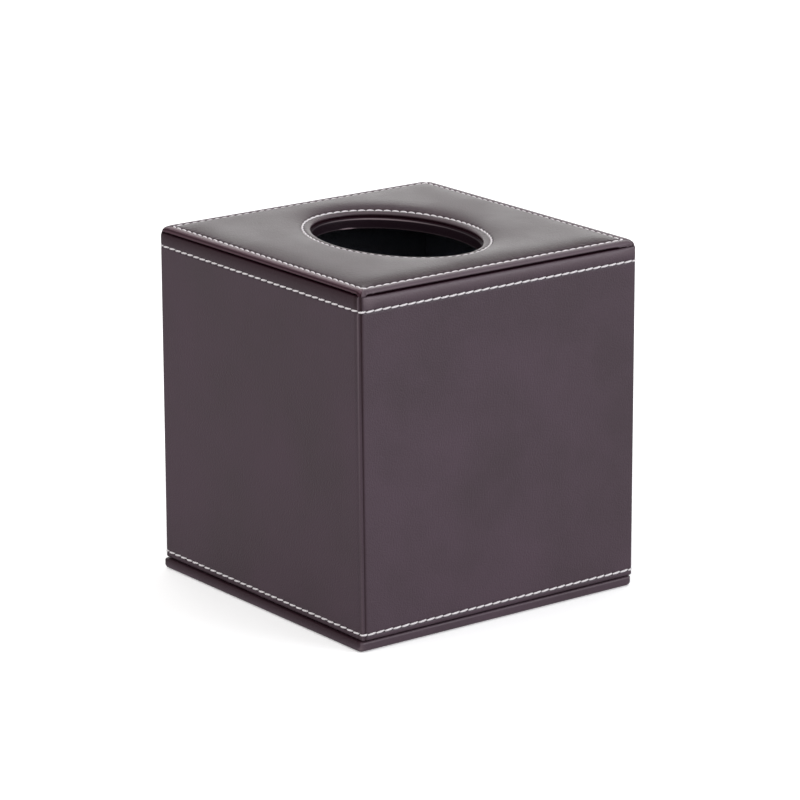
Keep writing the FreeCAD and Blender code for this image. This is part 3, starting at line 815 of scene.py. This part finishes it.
def lay_on_side(z):
    """Laying rule for a line round the sides."""
    def lay(s, across, out):
        plan, outward = rounded_square(s, HALF, CORNER)
        place = plan + outward * (out - SUNK)
        side, along = divmod(s % (4 * SIDE_LENGTH), SIDE_LENGTH)
        rise = LINE_SLANT * slant(int(side), along - SIDE_LENGTH / 2) if z == HIGH_LINE else 0
        return place.x, place.y, z + rise + across
    return lay


def lay_on_panel(s, across, out):
    """Laying rule for the line round the edge of the padded top."""
    plan, outward = rounded_square(s, PANEL_LINE, 0.3)
    place = plan + outward * across
    return place.x, place.y, SEWN - 2 * SUNK + 1.05 * out


def lay_on_oval(s, across, out):
    """Laying rule for the line round the oval."""
    s = s % oval_length[-1]
    step = bisect.bisect_right(oval_length, s) - 1
    share = (s - oval_length[step]) / (oval_length[step + 1] - oval_length[step])
    plan = oval_offset(2 * math.pi * (step + share) / OVAL_STEPS, STITCH_OVAL, across)
    return plan.x, plan.y, SEWN_OVAL - SUNK + out


thread, tree, shader, position = new_material("white_thread")
twist_map = tree.nodes.new("ShaderNodeUVMap")
twist_map.uv_map = "twist"
plies = tree.nodes.new("ShaderNodeTexWave")
plies.bands_direction = "DIAGONAL"
plies.inputs["Scale"].default_value = 0.9
tree.links.new(twist_map.outputs["UV"], plies.inputs["Vector"])
two_tones(tree, shader, plies.outputs["Fac"], (0.80, 0.74, 0.77), (1.0, 0.96, 0.97))
raised(tree, shader, plies.outputs["Fac"], 0.1 * MM)
shader.inputs["Roughness"].default_value = 0.55
shader.inputs["Sheen Weight"].default_value = 0.2

low_pitch = 4 * SIDE_LENGTH / sum(STITCHES_LOW)
high_pitch = 4 * SIDE_LENGTH / sum(STITCHES_HIGH)
panel_pitch = 2 * PANEL_LINE / PANEL_STITCHES
oval_pitch = oval_length[-1] / OVAL_STITCHES
panel_line = [n * panel_pitch for n in range(4 * PANEL_STITCHES)]
oval_line = [n * oval_pitch for n in range(OVAL_STITCHES)]
sewn_lines = (
    sewn_line("low_side_stitches", side_line(STITCHES_LOW), low_pitch, lay_on_side(LOW_LINE)),
    sewn_line("high_side_stitches", side_line(STITCHES_HIGH), high_pitch, lay_on_side(HIGH_LINE)),
    sewn_line("panel_edge_stitches", panel_line, panel_pitch, lay_on_panel),
    sewn_line("oval_stitches", oval_line, oval_pitch, lay_on_oval),
)
for stitches in sewn_lines:
    stitches.data.materials.append(thread)
    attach(stitches, "shell")


# ---- lining ----
# Black flannel glued inside the walls, under the top board and on the flap. Its nap drinks the
# light, so the opening looks black.
flannel, tree, shader, position = new_material("black_flannel")
nap = fine_noise(tree, position, 2600, 5)
two_tones(tree, shader, nap, (0.062, 0.065, 0.076), (0.11, 0.115, 0.136))
raised(tree, shader, nap, 0.3 * MM)
shader.inputs["Roughness"].default_value = 0.95
shader.inputs["Specular IOR Level"].default_value = 0.15
shader.inputs["Sheen Weight"].default_value = 0.4
shader.inputs["Sheen Tint"].default_value = (0.75, 0.82, 1.0, 1)
for lining in ("front_lining", "right_lining", "back_lining", "left_lining", "top_lining",
               "base_lining"):
    dress(lining, flannel)


# ---- magnets and steel plates ----
# Two nickel-plated bars in the lower edge of the front wall pull on two steel plates let into
# the flap. The leather covers both.
nickel, tree, shader, position = new_material("nickel_plate")
scuffs = fine_noise(tree, position, 700, 2)
scuff_range = tree.nodes.new("ShaderNodeMapRange")
scuff_range.inputs["To Min"].default_value = 0.18
scuff_range.inputs["To Max"].default_value = 0.42
tree.links.new(scuffs, scuff_range.inputs["Value"])
tree.links.new(scuff_range.outputs["Result"], shader.inputs["Roughness"])
shader.inputs["Base Color"].default_value = (0.56, 0.54, 0.50, 1)
shader.inputs["Metallic"].default_value = 1.0
dress("wall_magnets", nickel)
dress("keeper_plates", nickel)


# ---- leather of the flap ----
# The flap's board is wrapped from below, its edges rolled and its margins turned over on top and
# mitred at the corners. Its front edge stands proud of the box as a lip for the finger.
FLAP_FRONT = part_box("base_leather")[0].y / MM
FLAP_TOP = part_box("base_leather")[1].z / MM
FLAP_HALF_Y = (HALF - FLAP_FRONT) / 2
FLAP_CENTRE_Y = (HALF + FLAP_FRONT) / 2
FLAP_CORNER = 2.2
FLAP_SKIN = 0.75
flap_ring = ring_places(120, 6)
lower_roll = [(1.5 * (1 - math.cos(a)), 1.5 * (1 - math.sin(a))) for a in reversed(quarter)]
upper_roll = [(0.9 * (1 - math.cos(a)), FLAP_TOP - 0.9 * (1 - math.sin(a))) for a in quarter]
flap_profile = (
    [(60, 0.0), (30, 0.0), (8, 0.0)] + lower_roll + upper_roll
    + [(3, FLAP_TOP), (11.6, FLAP_TOP), (12, FLAP_TOP - 0.15), (12, FLAP_TOP - FLAP_SKIN),
       (FLAP_SKIN, FLAP_TOP - FLAP_SKIN), (FLAP_SKIN, FLAP_SKIN), (60, FLAP_SKIN)]
)


def flap_point(index, station):
    """Point of the flap's leather, with painted shade on its front edge and on the margin under the
    shell, a painted highlight along the upper edge of its other sides, and paler at its front right
    corner.
    """
    inset, z = station
    half_x, half_y, radius = HALF - inset, FLAP_HALF_Y - inset, max(FLAP_CORNER - inset, 0.12)
    plan, outward, _ = at_place(flap_ring[index], half_x, half_y, radius)
    waver = 0.5 + 0.5 * noise.noise(Vector((plan.x * 0.06, plan.y * 0.06, z * 0.5)))
    if 0 < z < FLAP_TOP and inset < 2:
        plan -= outward * 0.10 * waver
    painted_light = 0.0
    # Painted shade on the front edge and on the margin under the shell; a painted highlight along
    # the upper edge of the other sides.
    if inset < 8 and flap_ring[index][0] == 3:
        painted_light = 0.75 * held((z - 1.6) / 1.8)
    elif inset < 8 and z > FLAP_TOP - 0.25:
        painted_light = 0.35
    elif inset < 8:
        painted_light = -0.12 * bell(z - 3.3, 0.25)
    y = plan.y + FLAP_CENTRE_Y
    to_corner = math.hypot(plan.x - HALF, y - FLAP_FRONT, z - 1.5)
    # Paler at the front right corner.
    painted_light -= 0.45 * math.exp(-to_corner ** 2 / 2)
    return plan.x, y, z, painted_light


flap = carried_ring("base_leather_skin", len(flap_ring), flap_profile, flap_point, capped=True)
flap.data.materials.append(side_material)
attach(flap, "base_flap")
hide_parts("base_leather")


# ---- hinge ----
# The flap's leather runs on past its back edge as a tongue, let into the back hem and sewn down
# with it. The bare crease between is the hinge.
TONGUE_HALF, TONGUE_Y = 56.0, 64.2
tongue_line = (
    [(TONGUE_Y, z) for z in (10.2, 9.4, 8.6, 7.8, 7.2)]
    + [(TONGUE_Y - 0.22 * bell(z - LOW_LINE, 0.5), z) for z in (6.9, 6.6, 6.45, 6.3, 6.0)]
    + [(TONGUE_Y, z) for z in (5.5, 5.0, 4.7, 4.5, 4.35, 4.2, 4.05, 3.9, 3.75, 3.6, 3.45, 3.2, 2.9)]
    + [(64.12, z) for z in (2.4, 1.9)]
)
bm = bmesh.new()
bmesh.ops.create_grid(bm, x_segments=112, y_segments=1, size=1)
bmesh.ops.delete(bm, geom=[v for v in bm.verts if v.co.y > 0], context="VERTS")
edge = bm.edges[:]
for vert in bm.verts:
    x, (y, z) = vert.co.x * TONGUE_HALF, tongue_line[0]
    vert.co = Vector((x, y - 0.25, z + 0.4)) * MM
for y, z in tongue_line:
    made = bmesh.ops.extrude_edge_only(bm, edges=edge)["geom"]
    edge = [item for item in made if isinstance(item, bmesh.types.BMEdge) and item.is_boundary
            and all(vert in made for vert in item.verts)]
    for vert in made:
        if isinstance(vert, bmesh.types.BMVert):
            vert.co = Vector((vert.co.x, y * MM, z * MM))
bmesh.ops.recalc_face_normals(bm, faces=bm.faces)
hinge = finished(bm, "hinge_leather_skin")
hinge.data.materials.append(side_material)
thickness = hinge.modifiers.new("thickness", "SOLIDIFY")
thickness.thickness = 0.45 * MM
thickness.offset = -1
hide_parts("hinge_tongue")
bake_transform(hinge)


# ---- floor and light ----
# A white table under a white sky, with three large soft lamps. From underneath the table is
# clear, and lets sky light reach what stands on it, so that the flap can be seen from below.
bm = bmesh.new()
bmesh.ops.create_grid(bm, x_segments=1, y_segments=1, size=4)
bmesh.ops.translate(bm, verts=bm.verts, vec=(0, 0, -0.2 * MM))
floor = finished(bm, "floor")
floor_material, tree, shader, position = new_material("white_table")
shader.inputs["Roughness"].default_value = 0.9
shader.inputs["Specular IOR Level"].default_value = 0.1
shader.inputs["Emission Color"].default_value = (1, 1, 1, 1)
rays = tree.nodes.new("ShaderNodeLightPath").outputs
paleness = mixed(tree, rays["Is Camera Ray"], (0.45, 0.44, 0.45), (0.95, 0.95, 0.95))
tree.links.new(paleness, shader.inputs["Base Color"])
own_light = worked_out(tree, "MULTIPLY", rays["Is Camera Ray"], 0.28)
tree.links.new(own_light, shader.inputs["Emission Strength"])
side_seen = tree.nodes.new("ShaderNodeNewGeometry")
touching = worked_out(tree, "LESS_THAN", rays["Ray Length"], 3 * MM)
from_touching = worked_out(tree, "MULTIPLY", touching, rays["Is Diffuse Ray"])
clearness = worked_out(tree, "MAXIMUM", side_seen.outputs["Backfacing"], from_touching)
clear = tree.nodes.new("ShaderNodeBsdfTransparent")
table_or_clear = tree.nodes.new("ShaderNodeMixShader")
tree.links.new(clearness, table_or_clear.inputs["Fac"])
tree.links.new(shader.outputs["BSDF"], table_or_clear.inputs[1])
tree.links.new(clear.outputs["BSDF"], table_or_clear.inputs[2])
tree.links.new(table_or_clear.outputs["Shader"], tree.nodes["Material Output"].inputs["Surface"])
floor.data.materials.append(floor_material)

sky = bpy.data.worlds.new("sky")
sky.use_nodes = True
bpy.context.scene.world = sky
tree = sky.node_tree
background = tree.nodes["Background"]
background.inputs["Color"].default_value = (1, 1, 1, 1)
rays = tree.nodes.new("ShaderNodeLightPath").outputs
level = worked_out(tree, "MULTIPLY_ADD", rays["Is Glossy Ray"], -0.62, 0.9)
shown = worked_out(tree, "MAXIMUM", rays["Is Camera Ray"], level)
tree.links.new(shown, background.inputs["Strength"])


def lamp(name, place, wide, tall, glow, colour, mirrored=True):
    """Soft oblong lamp aimed at the middle of the box, seen in the leather where mirrored."""
    data = bpy.data.lights.new(name, "AREA")
    data.shape = "RECTANGLE"
    data.size, data.size_y = wide, tall
    data.energy = glow * math.pi * wide * tall
    data.color = colour
    lamp_object = bpy.data.objects.new(name, data)
    aim = Vector((0, 0, 0.07)) - Vector(place)
    turn = aim.to_track_quat("-Z", "Y").to_matrix().to_4x4()
    lamp_object.matrix_world = Matrix.Translation(place) @ turn
    lamp_object.visible_glossy = mirrored
    bpy.context.collection.objects.link(lamp_object)


lamp("right_lamp", (1.5, 0.9, 0.75), 1.1, 0.8, 4.8, (0.90, 0.94, 1.0))
lamp("front_lamp", (0.2, -1.6, 1.7), 1.3, 0.9, 2.6, (1.0, 0.97, 0.95), mirrored=False)
lamp("far_lamp", (-1.75, 1.3, 0.62), 1.9, 0.55, 2.45, (1.0, 1.0, 0.98))

bpy.context.scene.view_settings.view_transform = "Standard"
